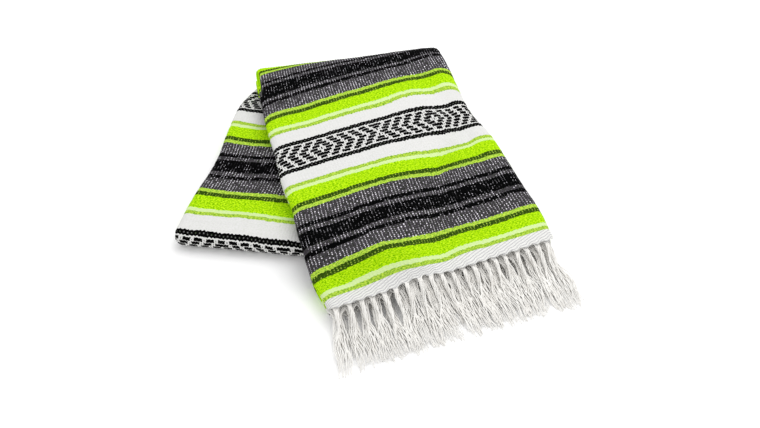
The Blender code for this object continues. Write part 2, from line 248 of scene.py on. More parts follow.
def arc(centre, radii, start, end, count):
    """Points of an elliptical arc, angles in degrees."""
    angle = np.radians(np.linspace(start, end, count))
    return centre[0] + radii[0] * np.cos(angle), centre[1] + radii[1] * np.sin(angle)


def cover_outline(width, top_columns, side_columns):
    """Section of the outer layer: across, up and the distance along the weft from the left."""
    radii = (SIDE_ROUND, QUARTER)
    left = arc((SIDE_ROUND, STACK - QUARTER), radii, 90 + COVER_WRAP, 90, side_columns)
    right = arc((width - SIDE_ROUND, STACK - QUARTER), radii, 90, 90 - COVER_WRAP, side_columns)
    top = np.linspace(SIDE_ROUND, width - SIDE_ROUND, top_columns + 1)[1:-1]
    across = np.concatenate([left[0], top, right[0]])
    up = np.concatenate([left[1], np.full(len(top), STACK), right[1]])
    steps = np.hypot(np.diff(across), np.diff(up))
    steps[side_columns - 1: -side_columns + 1] *= STRIP_WIDTH / width
    weft = np.concatenate([[0.0], np.cumsum(steps)])
    return across, up, weft - weft[side_columns - 1] + SIDE_ROUND


def cloth_distance(lines, shares, along, share):
    """Distance from the hem along the cloth, at distances along the arm and shares of the way across."""
    table = np.array(lines).T / 1000
    marks = table[0]
    crossings = smooth_curve(np.array(shares), table[1:], np.clip(share, 0.0, 1.0)).T
    cloth = np.empty((len(along), len(share)))
    for j in range(len(share)):
        order = np.argsort(crossings[:, j])
        stops, values = crossings[order, j], marks[order]
        column = np.interp(along, stops, values)
        first, last = np.sign(values[1] - values[0]), np.sign(values[-1] - values[-2])
        column = np.where(along < stops[0], values[0] + (along - stops[0]) * first, column)
        cloth[:, j] = np.where(along > stops[-1], values[-1] + (along - stops[-1]) * last, column)
    return cloth


def outward(grid):
    """Unit normals of a grid of points, rows along the arm and columns across it."""
    down_rows = np.gradient(grid, axis=0)
    down_columns = np.gradient(grid, axis=1)
    normal = np.cross(down_columns, down_rows)
    return normal / np.linalg.norm(normal, axis=-1)[..., None]


def wander(chance, count, swing, waves):
    """A smooth line that wanders about zero, as a hand-thrown weft does."""
    place = np.linspace(0.0, 1.0, count)
    line = np.zeros(count)
    for wave in waves:
        line += np.sin(2 * np.pi * (wave * place + chance.random())) * swing / len(waves)
    return line


def sheet_mesh(name, grid, cloth):
    """A piece of the woven cloth over a grid of points, with each point's place in it kept."""
    rows, columns = grid.shape[:2]
    index = np.arange(rows * columns).reshape(rows, columns)
    quads = np.stack([index[:-1, :-1], index[:-1, 1:], index[1:, 1:], index[1:, :-1]], -1).reshape(-1, 4)
    mesh = bpy.data.meshes.new(name)
    mesh.from_pydata(grid.reshape(-1, 3).tolist(), [], quads.tolist())
    attribute = mesh.attributes.new("cloth", "FLOAT_VECTOR", "POINT")
    attribute.data.foreach_set("vector", cloth.reshape(-1, 3).astype(np.float32).ravel())
    mesh.shade_smooth()
    mesh.materials.append(woven)
    piece = bpy.data.objects.new(name, mesh)
    bpy.context.scene.collection.objects.link(piece)
    return piece


def linear(colour):
    """Linear RGBA of an sRGB hex colour."""
    values = [int(colour[i: i + 2], 16) / 255 for i in (1, 3, 5)]
    return tuple(v / 12.92 if v <= 0.04045 else ((v + 0.055) / 1.055) ** 2.4 for v in values) + (1.0,)


def add_node(tree, kind, *inputs, **settings):
    """Add a shader node with its settings and links, and give its first output.

    An input is a number, a colour or another node's output, in the order of the sockets in use.
    """
    node = tree.nodes.new("ShaderNode" + kind)
    for key, value in settings.items():
        setattr(node, key, value)
    sockets = [socket for socket in node.inputs if socket.enabled]
    for socket, value in zip(sockets, inputs):
        if isinstance(value, bpy.types.NodeSocket):
            tree.links.new(value, socket)
        else:
            socket.default_value = value
    return next(socket for socket in node.outputs if socket.enabled)


# Widths of the stripes in mm, from the middle of a wide black stripe out to the middle of a diamond
# band, where the order turns back on itself. A falsa's stripes repeat so from end to end
Stripe = namedtuple("Stripe", "colour width")
STRIPES = [
    Stripe(BLACK, 12.5),
    Stripe(GREY, 6.0),
    Stripe(BLACK, 6.5),
    Stripe(GREY, 21.5),
    Stripe(LIME_EDGE, 6.0),
    Stripe(GREEN_BLACK, 7.5),
    Stripe(LIME, 22.5),
    Stripe(LIME_PALE, 6.5),
    Stripe(LIME_MOTTLED, 6.5),
    Stripe(WHITE, 48.0),
]
HALF_REPEAT = sum(stripe.width for stripe in STRIPES)
FIRST_BLACK = 112.7

# How far each warp rib, the groove beside it and the beat of the weft move a stripe's edge, in mm
RIB_PULL = 1.1
GROOVE_PULL = 0.6
BEAT = 2.4
BEAT_BACK = 1.5

# The diamond band, the chain line on each side of it and the header's cords, in mm but for the shares
DIAMOND_ACROSS = 173.5
FIRST_DIAMOND = 67.5
DIAMOND_ROW = 4.95
DIAMOND_ROWS = 7
DASH_REPEAT = 16.7
DASH = 11.4
DASH_START = 5.9
DASH_STEP = 4.1
DASH_SHARE = 0.45
DASH_RAGGED = 1.4
TICK = 0.9
TICK_SHARE = DASH_SHARE * 0.5
CHAIN_MIDDLE = 22.4
CHAIN_HALF = 3.4
CHAIN_LOOP = 5.6
CHAIN_POINT_HALF = 0.75
CHAIN_POINT_SHARE = 0.22
LOOP_END = 0.70
HEADER = 17.2
CORD = 4.3
CORD_TWIST = 11.0
CORD_RELIEF = 0.8
PICK = 2.0
PICK_RELIEF = 0.20

# Scales of the noises to the mm, and how each is drawn out across and along the cloth. The beat wanders
# over 18 mm, a fleck is 3 by 1.3 mm and a pick's tone 71 by 2. Real fibres are far finer than 1.1 mm,
# which these need to show
BEAT_SCALE = 0.055
FLECK_SCALE, FLECK_STRETCH = 0.95, (0.36, 0.80, 1.0)
TONE_STRETCH = (0.014, 0.48, 1.0)
FIBRE_SCALE = 0.9

# Each pair is a gain and an offset, which set how much of a noise or of a wave shows. A single number
# is a share or a power
# Gains, offsets and shares of the flecks' painted shade and painted highlight
SHADE_FLECKS, SHADE_FLECK_SHARE = (8.0, -3.8), (0.80, 0.10)
HIGHLIGHT_FLECKS, HIGHLIGHT_FLECK_SHARE = (-8.0, 3.7), 0.55
DARK_YARN = (-0.98, 0.76)
PICK_TONE, PICK_TONE_SHARE = (1.5, -0.62), (0.9, 0.05)
SPECK_POWER, SPECK_SHARE = (-5.2, 7.0), (0.50, 0.62)
SPECK_GROOVE, SPECK_LENGTH = 0.66, 0.40
# Power of the painted shade in the grooves between the ribs
GROOVE_SHADE_POWER = 3.0
CORD_GAP, CORD_GAP_SHARE, CORD_WHITE_SHARE = (-2.2, -1.0), 0.70, 0.75

# Limits of blue and green that tell the yarns' colours apart, and the gain that tells grey from black
PALE_BLUE, BRIGHT_GREEN, DARK_GREEN, LEAF_GREEN = 0.3, 0.5, 0.2, 0.03
GREY_GAIN = 18.0


def cell_noise(tree, x, y):
    """A random value for each whole step of x and y."""
    whole_x = add_node(tree, "Math", x, operation="FLOOR")
    whole_y = add_node(tree, "Math", y, operation="FLOOR")
    cell = add_node(tree, "CombineXYZ", whole_x, whole_y)
    return add_node(tree, "TexWhiteNoise", cell, noise_dimensions="3D")


def woven_cloth(name):
    """Plain-woven recycled acrylic and cotton: matt, thick picks, and a white warp that shows as specks."""
    material = bpy.data.materials.new(name)
    material.use_nodes = True
    tree = material.node_tree
    shader = tree.nodes["Principled BSDF"]
    add = partial(add_node, tree)
    place = add("Attribute", attribute_name="cloth").node.outputs["Vector"]
    in_mm = add("VectorMath", place, operation="SCALE")
    in_mm.node.inputs["Scale"].default_value = 1000.0
    parts = add("SeparateXYZ", in_mm).node.outputs
    across, straight = parts["X"], parts["Y"]

    # Each warp rib pulls the edge of a stripe a little its own way
    rib = add("Math", across, WARP_RIB * 1000, operation="DIVIDE")
    rib_noise = cell_noise(tree, rib, 0.0)
    half_rib = add("Math", rib, 2.0, operation="MULTIPLY")
    groove = add("Math", half_rib, 1.0, operation="PINGPONG")
    beat = add("TexNoise", in_mm, BEAT_SCALE, 2.0)
    pull = add("Math", rib_noise, RIB_PULL, -RIB_PULL / 2, operation="MULTIPLY_ADD")
    pull = add("Math", groove, GROOVE_PULL, pull, operation="MULTIPLY_ADD")
    drift = add("Math", beat, BEAT, -BEAT_BACK, operation="MULTIPLY_ADD")
    moved = add("Math", pull, drift, operation="ADD")
    along = add("Math", straight, moved, operation="ADD")

    # The stripes, each of one even colour until the yarns' own tones are laid over them
    from_first = add("Math", along, FIRST_BLACK, operation="SUBTRACT")
    from_black = add("Math", from_first, HALF_REPEAT, operation="PINGPONG")
    through = add("Math", from_black, HALF_REPEAT, operation="DIVIDE")
    stripes = add("ValToRGB", through)
    ramp = stripes.node.color_ramp
    ramp.interpolation = "CONSTANT"
    start = 0.0
    for number, stripe in enumerate(STRIPES):
        element = ramp.elements[0] if number == 0 else ramp.elements.new(start / HALF_REPEAT)
        element.color = linear(stripe.colour)
        start += stripe.width
    ramp.elements.remove(ramp.elements[len(STRIPES)])

    # The diamond band: rows of dashes set out so that rings of them nest round each diamond, with a
    # small tick between dashes
    from_middle = add("Math", HALF_REPEAT, from_black, operation="SUBTRACT")
    row = add("Math", from_middle, DIAMOND_ROW, operation="DIVIDE")
    whole_row = add("Math", row, operation="ROUND")
    off_row = add("Math", row, whole_row, operation="SUBTRACT")
    in_row = add("Math", off_row, operation="ABSOLUTE")
    sideways = add("Math", across, DIAMOND_ACROSS - FIRST_DIAMOND, operation="ADD")
    from_diamond = add("Math", sideways, DIAMOND_ACROSS / 2, operation="PINGPONG")
    ring = add("Math", whole_row, DASH_STEP, from_diamond, operation="MULTIPLY_ADD")
    uneven = cell_noise(tree, rib, row)
    ragged = add("Math", uneven, DASH_RAGGED, -DASH_RAGGED / 2, operation="MULTIPLY_ADD")
    shift = add("Math", ragged, DASH_START, operation="SUBTRACT")
    ring = add("Math", ring, shift, operation="ADD")
    phase = add("Math", ring, DASH_REPEAT, operation="FLOORED_MODULO")
    dash = add("Math", phase, DASH, operation="LESS_THAN")
    dash_row = add("Math", in_row, DASH_SHARE, operation="LESS_THAN")
    dash = add("Math", dash, dash_row, operation="MULTIPLY")
    tick = add("Math", phase, (DASH + DASH_REPEAT) / 2, TICK / 2, operation="COMPARE")
    tick_row = add("Math", in_row, TICK_SHARE, operation="LESS_THAN")
    tick = add("Math", tick, tick_row, operation="MULTIPLY")
    marks = add("Math", dash, tick, operation="MAXIMUM")
    band = add("Math", whole_row, DIAMOND_ROWS / 2, operation="LESS_THAN")
    in_dash = add("Math", marks, band, operation="MULTIPLY")

    # A chain line on each side of the band: a black cord whose loops show a point of white
    loop = add("Math", across, CHAIN_LOOP / 2, operation="DIVIDE")
    loop = add("Math", loop, 1.0, operation="PINGPONG")
    chain_half = add("Math", loop, CHAIN_HALF - 0.5, operation="ADD")
    off_chain = add("Math", from_middle, CHAIN_MIDDLE, operation="SUBTRACT")
    from_chain = add("Math", off_chain, operation="ABSOLUTE")
    in_chain = add("Math", from_chain, chain_half, operation="LESS_THAN")
    loop_end = add("Math", loop, LOOP_END, operation="GREATER_THAN")
    in_point = add("Math", from_chain, CHAIN_POINT_HALF, operation="LESS_THAN")
    point = add("Math", loop_end, in_point, operation="MULTIPLY")
    ink_left = add("Math", point, -CHAIN_POINT_SHARE, 1.0, operation="MULTIPLY_ADD")
    in_chain = add("Math", in_chain, ink_left, operation="MULTIPLY")
    inked = add("Math", in_dash, in_chain, operation="MAXIMUM")
    coloured = add("Mix", inked, stripes, linear(BLACK), data_type="RGBA")

    # Flecks run along the picks: painted shade, deeper, in the gaps between the weft loops, and in the
    # lime a painted highlight, yellower, on the loops. The pale yarns are told by their blue, and the lime
    # ones by their green
    channels = add("SeparateColor", coloured).node.outputs
    green, blue = channels["Green"], channels["Blue"]
    is_coloured = add("Math", blue, PALE_BLUE, operation="LESS_THAN")
    is_bright = add("Math", green, BRIGHT_GREEN, operation="GREATER_THAN")
    is_lime = add("Math", is_coloured, is_bright, operation="MULTIPLY")
    stretched = add("VectorMath", in_mm, FLECK_STRETCH, operation="MULTIPLY")
    fleck = add("TexNoise", stretched, FLECK_SCALE, 2.0)
    fleck_shade = add("Math", fleck, *SHADE_FLECKS, operation="MULTIPLY_ADD", use_clamp=True)
    fleck_shade_share = add("Math", is_coloured, *SHADE_FLECK_SHARE, operation="MULTIPLY_ADD")
    fleck_shade = add("Math", fleck_shade, fleck_shade_share, operation="MULTIPLY")
    fleck_highlight = add("Math", fleck, *HIGHLIGHT_FLECKS, operation="MULTIPLY_ADD", use_clamp=True)
    fleck_highlight_share = add("Math", is_lime, HIGHLIGHT_FLECK_SHARE, operation="MULTIPLY")
    fleck_highlight = add("Math", fleck_highlight, fleck_highlight_share, operation="MULTIPLY")
    shaded = add("Mix", 1.0, coloured, linear(LIME_SHADE), data_type="RGBA", blend_type="MULTIPLY")
    mixed = add("Mix", fleck_shade, coloured, shaded, data_type="RGBA")
    mixed = add("Mix", fleck_highlight, mixed, linear(LIME_HIGHLIGHT), data_type="RGBA")

    # Painted shade in the grooves between the ribs, deepest in the dark yarns; each pick has its own tone
    dark_yarn = add("Math", green, *DARK_YARN, operation="MULTIPLY_ADD", use_clamp=True)
    deep = add("Math", groove, GROOVE_SHADE_POWER, operation="POWER")
    groove_shade = add("Math", deep, dark_yarn, operation="MULTIPLY")
    stretched = add("VectorMath", in_mm, TONE_STRETCH, operation="MULTIPLY")
    pick_tone = add("TexNoise", stretched, 1.0, 2.0)
    pick_tone = add("Math", pick_tone, *PICK_TONE, operation="MULTIPLY_ADD", use_clamp=True)
    tone_share = add("Math", dark_yarn, *PICK_TONE_SHARE, operation="MULTIPLY_ADD")
    pick_tone = add("Math", pick_tone, tone_share, operation="MULTIPLY")
    groove_shade_and_pick_tone = add("Math", groove_shade, pick_tone, operation="MAXIMUM")
    mixed = add("Mix", groove_shade_and_pick_tone, mixed, linear(BLACK), data_type="RGBA")

    # The warp shows between the ribs as specks, many in the grey, few in the black. Beside the lime
    # its own fibres colour them
    picks = add("Math", along, PICK * 1.5, operation="DIVIDE")
    rib_shift = add("Math", rib_noise, 3.0, operation="MULTIPLY")
    shifted = add("Math", picks, rib_shift, operation="ADD")
    half_pick = add("Math", shifted, 2.0, operation="MULTIPLY")
    speck_along = add("Math", half_pick, 1.0, operation="PINGPONG")
    next_rib = add("Math", rib, 0.5, operation="ADD")
    speck_noise = cell_noise(tree, next_rib, shifted)
    between_ribs = add("Math", groove, SPECK_GROOVE, operation="GREATER_THAN")
    on_pick = add("Math", speck_along, SPECK_LENGTH, operation="GREATER_THAN")
    near = add("Math", between_ribs, on_pick, operation="MULTIPLY")
    greyness = add("Math", green, GREY_GAIN, operation="MULTIPLY", use_clamp=True)
    power = add("Math", greyness, *SPECK_POWER, operation="MULTIPLY_ADD")
    some = add("Math", speck_noise, power, operation="POWER")
    speck_share = add("Math", greyness, *SPECK_SHARE, operation="MULTIPLY_ADD")
    is_dark = add("Math", green, DARK_GREEN, operation="LESS_THAN")
    not_inked = add("Math", 1.0, inked, operation="SUBTRACT")
    strength = add("Math", near, some, operation="MULTIPLY")
    for share in (speck_share, is_dark, not_inked):
        strength = add("Math", strength, share, operation="MULTIPLY")
    green_over_blue = add("Math", green, blue, operation="SUBTRACT")
    is_green = add("Math", green_over_blue, LEAF_GREEN, operation="GREATER_THAN")
    warp = add("Mix", is_green, linear(WARP_WHITE), linear(LIME_MOTTLED), data_type="RGBA")
    finished = add("Mix", strength, mixed, warp, data_type="RGBA")

    # Twisted cords run along the header, with shade where one lies against the next
    cord_turn = add("Math", straight, CORD, operation="DIVIDE")
    twist = add("Math", across, CORD_TWIST, operation="DIVIDE")
    cord_turn = add("Math", cord_turn, twist, operation="SUBTRACT")
    in_header = add("Math", straight, HEADER, operation="LESS_THAN")
    cord_angle = add("Math", cord_turn, 2 * math.pi, operation="MULTIPLY")
    cord_wave = add("Math", cord_angle, operation="SINE")
    cord_wave = add("Math", cord_wave, in_header, operation="MULTIPLY")
    whiter = add("Math", in_header, CORD_WHITE_SHARE, operation="MULTIPLY")
    cord_gap = add("Math", cord_wave, *CORD_GAP, operation="MULTIPLY_ADD", use_clamp=True)
    cord_gap = add("Math", cord_gap, CORD_GAP_SHARE, operation="MULTIPLY")
    finished = add("Mix", whiter, finished, linear(CORD_WHITE), data_type="RGBA")
    finished = add("Mix", cord_gap, finished, linear(CORD_SHADE), data_type="RGBA")
    tree.links.new(finished, shader.inputs["Base Color"])

    # Relief of the picks, of the header's cords and of the fibres, too fine for the mesh
    pick_angle = add("Math", along, 2 * math.pi / PICK, operation="MULTIPLY")
    pick_wave = add("Math", pick_angle, operation="SINE")
    fibre = add("TexNoise", in_mm, FIBRE_SCALE, 3.0)
    relief = add("Math", pick_wave, PICK_RELIEF, fibre, operation="MULTIPLY_ADD")
    relief = add("Math", cord_wave, CORD_RELIEF, relief, operation="MULTIPLY_ADD")
    bump = add("Bump", 0.6, 0.0009)
    tree.links.new(relief, bump.node.inputs["Height"])
    tree.links.new(bump, shader.inputs["Normal"])
    shader.inputs["Roughness"].default_value = 1.0
    shader.inputs["Specular IOR Level"].default_value = 0.04
    return material


woven = woven_cloth("plain_woven_acrylic_and_cotton")
SIDE_COLUMNS = 20
TOP_COLUMNS = 232
front_along = np.linspace(-HEM_OUT, FRONT.length, int(FRONT.length / GRID_STEP))
roll_arc = np.linspace(0.0, math.pi * ROLL_AXIS_Z, int(math.pi * ROLL_AXIS_Z / GRID_STEP))[1:]
LIP_TURNS = (150, 110, 70, 35)

# Near the top fold the cloth has slipped along its left edge, so that the lime stripe runs down it
SLIP_START = 0.362
SLIP_RUN = 0.026
SLIP_CLOTH = 0.471
SLIP_WIDTH = 0.0060


def slipped(along):
    """Share of the slip at distances along the arm, from none to full and back round the top fold."""
    past_fold = smooth((along - FRONT.length - SLIP_RUN) / SLIP_RUN)
    return smooth((along - SLIP_START) / SLIP_RUN) * (1.0 - past_fold)


def outline_inward(across, up):
    """Unit vectors pointing into an arm's section, at each point of its outline."""
    tangent = np.stack([np.gradient(across), np.gradient(up)], -1)
    tangent /= np.linalg.norm(tangent, axis=1)[:, None]
    return np.stack([tangent[:, 1], -tangent[:, 0]], -1)


def front_cover_grid():
    """Points of the cloth, and their places in it, from inside the hem's lip to the floor behind."""
    rows = [(-HEM_OUT, 0.0, turn) for turn in LIP_TURNS]
    rows += [(along, 0.0, 0.0) for along in front_along]
    rows += [(FRONT.length, math.degrees(distance / ROLL_AXIS_Z), 0.0) for distance in roll_arc]
    first_left, first_right = FRONT.sides(0.0)
    bundle_pitch = (float(np.linalg.norm(first_right - first_left)) - 2 * FRINGE_SIDE) / BUNDLES
    grid, places = [], []
    for along, turn, lip in rows:
        left, right = FRONT.sides(along)
        width = float(np.linalg.norm(right - left))
        across, up, weft = cover_outline(width, TOP_COLUMNS, SIDE_COLUMNS)
        near_hem = 1.0 - smooth((along + HEM_OUT) / HEM_PULL_RUN)
        from_bundle = across - FRINGE_SIDE - bundle_pitch / 2
        pull = HEM_PULL * near_hem * np.cos(2 * np.pi * from_bundle / bundle_pitch)
        tucked = 1.0 - SIDE_TUCK * smooth((STACK - up) / SIDE_TUCK_RUN)
        shown = np.where(along < 0, along * tucked, along)
        points = front_point(shown - pull, across, up, turn)
        run = (right - left) / width
        out = np.array([run[1], -run[0], 0.0])
        inward = outline_inward(across, up)
        inward = np.concatenate([inward[:, :1] * run, inward[:, 1:]], 1)
        lip_angle = math.radians(lip)
        points = points + out * HEM_LIP * math.sin(lip_angle)
        grid.append(points + inward * HEM_LIP * (1.0 - math.cos(lip_angle)))
        places.append(weft)
    grid, weft = np.array(grid), np.array(places)
    share = np.clip(weft[len(LIP_TURNS)] / STRIP_WIDTH, 0.0, 1.0)
    distance = np.concatenate([front_along, FRONT.length + roll_arc])
    cloth = cloth_distance(FRONT_LINES, FRONT_SHARES, distance, share)
    at_edge = 1.0 - smooth((weft[0] - SLIP_WIDTH / 2) / (SLIP_WIDTH / 2))
    cloth += (SLIP_CLOTH - cloth) * np.outer(slipped(distance), at_edge)
    lip_rows = [cloth[0] - HEM_LIP * math.radians(turn) for turn in LIP_TURNS]
    cloth = np.vstack([lip_rows, cloth])
    return grid, np.stack([weft, cloth, np.zeros_like(weft)], -1)


def woven_relief(grid, place, chance):
    """Raise the warp ribs, with the slight unevenness of hand-thrown picks."""
    rib = np.cos(2 * np.pi * place[..., 0] / WARP_RIB) * RIB_RISE
    rows, columns = grid.shape[:2]
    picks = wander(chance, rows, UNEVEN_PICKS, (3.0, 7.3, 15.1, 31.0))
    ribs = wander(chance, columns, UNEVEN_RIBS, (2.4, 6.1, 13.7))
    uneven = np.outer(picks, np.ones(columns)) + np.outer(np.ones(rows), ribs)
    raised = grid + outward(grid) * (rib + uneven)[..., None]
    raised[..., 2] = np.maximum(raised[..., 2], 0.0)
    return raised


front_grid, front_places = front_cover_grid()
front_grid = woven_relief(front_grid, front_places, random.Random(11))
front_cover = sheet_mesh("front_arm_cover", front_grid, front_places)
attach(front_cover, "root")
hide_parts("front_arm_cloth", "top_fold_cloth")

# Cloth of the arm on the floor
# The same blanket's outermost layer on the arm below, round the blanket's centre fold at its end.
# It is the same weave, and lies flat but for soft dips where the layers under it give.
BACK_FOLDS_FADE = 60.0
BACK_FOLDS = [
    Fold(-0.180, 0.020, -15, 0.160, 0.024, -0.0018),
    Fold(-0.215, 0.120, 80, 0.140, 0.022, 0.0014),
    Fold(-0.120, -0.050, -8, 0.120, 0.020, 0.0012),
    Fold(0.060, 0.060, 75, 0.150, 0.020, -0.0015),
]
BackLine = namedtuple("BackLine", "c at_0 at_10 at_25 at_50 at_100")
BACK_SHARES = (0.0, 0.10, 0.25, 0.50, 1.0)
BACK_LINES = [
    BackLine(830.2, -32, -33, -34, -36, -38),
    BackLine(807.9, -6, -7, -8, -10, -12),
    BackLine(782.2, 30.5, 28, 28, 22.5, 17),
    BackLine(769.2, 45, 41, 40, 33.5, 28),
    BackLine(746.7, 72.5, 67.5, 65.5, 62, 57),
    BackLine(733.2, 87, 81, 79.5, 75.5, 71),
    BackLine(699.2, 122, 118.5, 117.5, 114.5, 110),
    BackLine(674.2, 146, 142, 140.5, 139, 136),
    BackLine(640.2, 191, 181, 177, 170, 165),
    BackLine(604.2, 235, 222.5, 217.5, 213, 206),
    BackLine(591.2, 249, 236.5, 226, 220, 212),
    BackLine(565.5, 280.5, 269, 258, 249, 241),
    BackLine(520.9, 325, 313, 301, 292, 284),
]


def back_point(along, across, up, turn=0.0):
    """Points of the arm on the floor, turned down in degrees about its end fold's axis."""
    along, across, up, turn = np.broadcast_arrays(along, across, up, turn)
    left, right = BACK.sides(along)
    width = np.linalg.norm(right - left, axis=-1)[..., None]
    run = (right - left) / width
    front = np.stack([run[..., 1], -run[..., 0]], -1)
    place = left + run * across[..., None]
    lift = fold_height(BACK_FOLDS, place[..., 0], place[..., 1]) * smooth((up - HALF) / HALF)
    height = up + lift * (1.0 - smooth(turn / BACK_FOLDS_FADE))
    reach = height - HALF
    angle = np.radians(turn)
    place = np.where(turn[..., None] > 0, place + front * (reach * np.sin(angle))[..., None], place)
    height = np.where(turn > 0, HALF + reach * np.cos(angle), height)
    return np.concatenate([place - MIDDLE, height[..., None]], -1)


back_along = np.linspace(BACK.length - SEAM, 0.0, int(BACK.length / GRID_STEP))
end_arc = np.linspace(0.0, math.pi * HALF, int(math.pi * HALF / GRID_STEP))[1:]


def back_cover_grid():
    """Points of the cloth, and their places in it, from the top fold to the floor at the end."""
    rows = [(along, 0.0) for along in back_along]
    rows += [(0.0, math.degrees(distance / HALF)) for distance in end_arc]
    grid, places = [], []
    for along, turn in rows:
        left, right = BACK.sides(along)
        width = float(np.linalg.norm(right - left))
        across, up, weft = cover_outline(width, TOP_COLUMNS, SIDE_COLUMNS)
        grid.append(back_point(along, across, up, turn))
        places.append(weft)
    grid, weft = np.array(grid), np.array(places)
    share = np.clip(weft[0] / STRIP_WIDTH, 0.0, 1.0)
    distance = np.concatenate([back_along, -end_arc])
    cloth = cloth_distance(BACK_LINES, BACK_SHARES, distance, share)
    return grid[::-1], np.stack([weft, cloth, np.zeros_like(weft)], -1)[::-1]


back_grid, back_places = back_cover_grid()
back_grid = woven_relief(back_grid, back_places, random.Random(12))
back_cover = sheet_mesh("back_arm_cover", back_grid, back_places)
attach(back_cover, "root")
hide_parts("back_arm_cloth")

# Hidden layers of both arms
# The seven layers under each cover: one round fold at the left, and open edges stacked at the right
# and at the hem, where folds and selvedges lie on each other. The same weave, seen edge on.
OPEN_SIDE_PLIES = 4
OPEN_SIDE_STEP = 0.0040
FOLD_SIDE_STEP = 0.0015
PLY_GROOVE = 0.0016
PLY_EDGE = 0.0028
PLY_POINTS = 7
PLY_STAGGER = 0.0012
PLY_LIFT = 0.0001
PLY_WANDER = 0.0022
SIDE_FOLD_POINTS = 20
FLOOR_POINTS = 40
LAYER_ROW_STEP = 0.0022
HEM_PLIES = 4
HEM_CORNER = 0.006
HEM_RECESS = 0.003
HEM_INSET = 0.0015
HEM_END = 0.001
HEM_WANDER = 0.0016
HEM_CLOTH = 0.004
HEM_CLOTH_SWING = 0.003
HEM_LOW = 0.0002
COVER_THICK = 0.0030
LOWER_HEMS_OUT, UPPER_HEMS_OUT = 0.0018, 0.0030
LAYERS_OUT = 0.001
TURN_ROWS = 31
SLIP_OUT = 0.0035


def layers_outline(width, shifts, slip):
    """Open section of the hidden layers, from inside the left fold under the cover to the right."""
    left_step = FOLD_SIDE_STEP - slip * SLIP_OUT
    radii = (SIDE_ROUND, QUARTER)
    left = arc((left_step + SIDE_ROUND, QUARTER), radii, 90, 270, SIDE_FOLD_POINTS)
    floor = np.linspace(SIDE_ROUND + left_step, width - 2 * SIDE_ROUND, FLOOR_POINTS)[1:-1]
    ply = HALF / OPEN_SIDE_PLIES
    across, up = [left[0], floor], [left[1], np.zeros(len(floor))]
    for k in range(OPEN_SIDE_PLIES):
        edge = width - OPEN_SIDE_STEP - PLY_STAGGER * (k % 2) + shifts[k]
        round_x, round_z = arc((edge - PLY_EDGE, (k + 0.5) * ply), (PLY_EDGE, ply / 2), -90, 90, PLY_POINTS)
        across += [np.array([edge - PLY_EDGE - PLY_GROOVE]), round_x]
        up += [np.array([k * ply + PLY_LIFT]), round_z]
    across.append(np.array([width - 2 * SIDE_ROUND]))
    up.append(np.array([HALF]))
    across, up = np.concatenate(across), np.concatenate(up)
    steps = np.hypot(np.diff(across), np.diff(up))
    return across, up, np.concatenate([[0.0], np.cumsum(steps)]) + SIDE_ROUND


def layer_shell(name, arm, point, rows, lines, shares, seed, slips):
    """The layers' side folds, open edges and underside along one arm and round its fold.

    slips says, row by row, how far the left fold has slipped out from under the cover.
    """
    chance = random.Random(seed)
    waves = (1.3, 3.1, 7.7, 16.0)
    shifts = [wander(chance, len(rows), PLY_WANDER, waves) for _ in range(OPEN_SIDE_PLIES)]
    grid, wefts, marks = [], [], []
    for number, (along, turn) in enumerate(rows):
        left, right = arm.sides(along)
        width = float(np.linalg.norm(right - left))
        across, up, weft = layers_outline(width, [shift[number] for shift in shifts], slips[number])
        grid.append(point(along, across, up, turn))
        wefts.append(weft)
        marks.append(along + math.radians(turn) * QUARTER)
    grid, weft = np.array(grid), np.array(wefts)
    middle = np.linspace(0.0, 1.0, weft.shape[1])
    cloth = cloth_distance(lines, shares, np.array(marks), smooth(middle))
    cloth += (SLIP_CLOTH - cloth) * np.outer(slips, 1.0 - smooth(middle * 4))
    places = np.stack([weft, cloth, np.zeros_like(weft)], -1)
    return sheet_mesh(name, grid[:, ::-1], places[:, ::-1])


def hem_face(name, low, high, plies, reach, seed):
    """Hems of stacked layers at the end of the arm on top, each a soft rounded edge."""
    chance = random.Random(seed)
    left, right = FRONT.sides(0.0)
    width = float(np.linalg.norm(right - left))
    across = np.linspace(HEM_INSET, width - OPEN_SIDE_STEP - HEM_END, TOP_COLUMNS)
    from_side = np.minimum(across, width - OPEN_SIDE_STEP - across)
    corner = np.sqrt(1.0 - np.clip(1.0 - from_side / HEM_CORNER, 0.0, 1.0) ** 2)
    left_round = np.sqrt(1.0 - np.clip(1.0 - across / SIDE_ROUND, 0.0, 1.0) ** 2)
    middle, half = (low + high) / 2, (high - low) / 2
    rows, places = [], []
    for k in range(plies):
        edge = reach * (k + 1) / plies + wander(chance, TOP_COLUMNS, HEM_WANDER, (1.7, 4.3, 9.1, 19.0))
        cords = np.cos(2 * np.pi * across / WARP_RIB) * RIB_RISE
        for angle in np.radians(np.linspace(-90, 90, PLY_POINTS)):
            share = (k + 0.5 + 0.5 * math.sin(angle)) / plies
            up = middle + half * (2 * share - 1) * left_round
            bulge = PLY_EDGE * (math.cos(angle) - 1.0) + edge + cords
            along = HEM_RECESS - (HEM_RECESS + bulge) * corner
            rows.append(front_point(along, across, up))
            cloth = HEM_CLOTH + HEM_CLOTH_SWING * np.sin(angle) + 0 * across
            places.append(np.stack([across, cloth, 0 * across], -1))
    return sheet_mesh(name, np.array(rows), np.array(places))


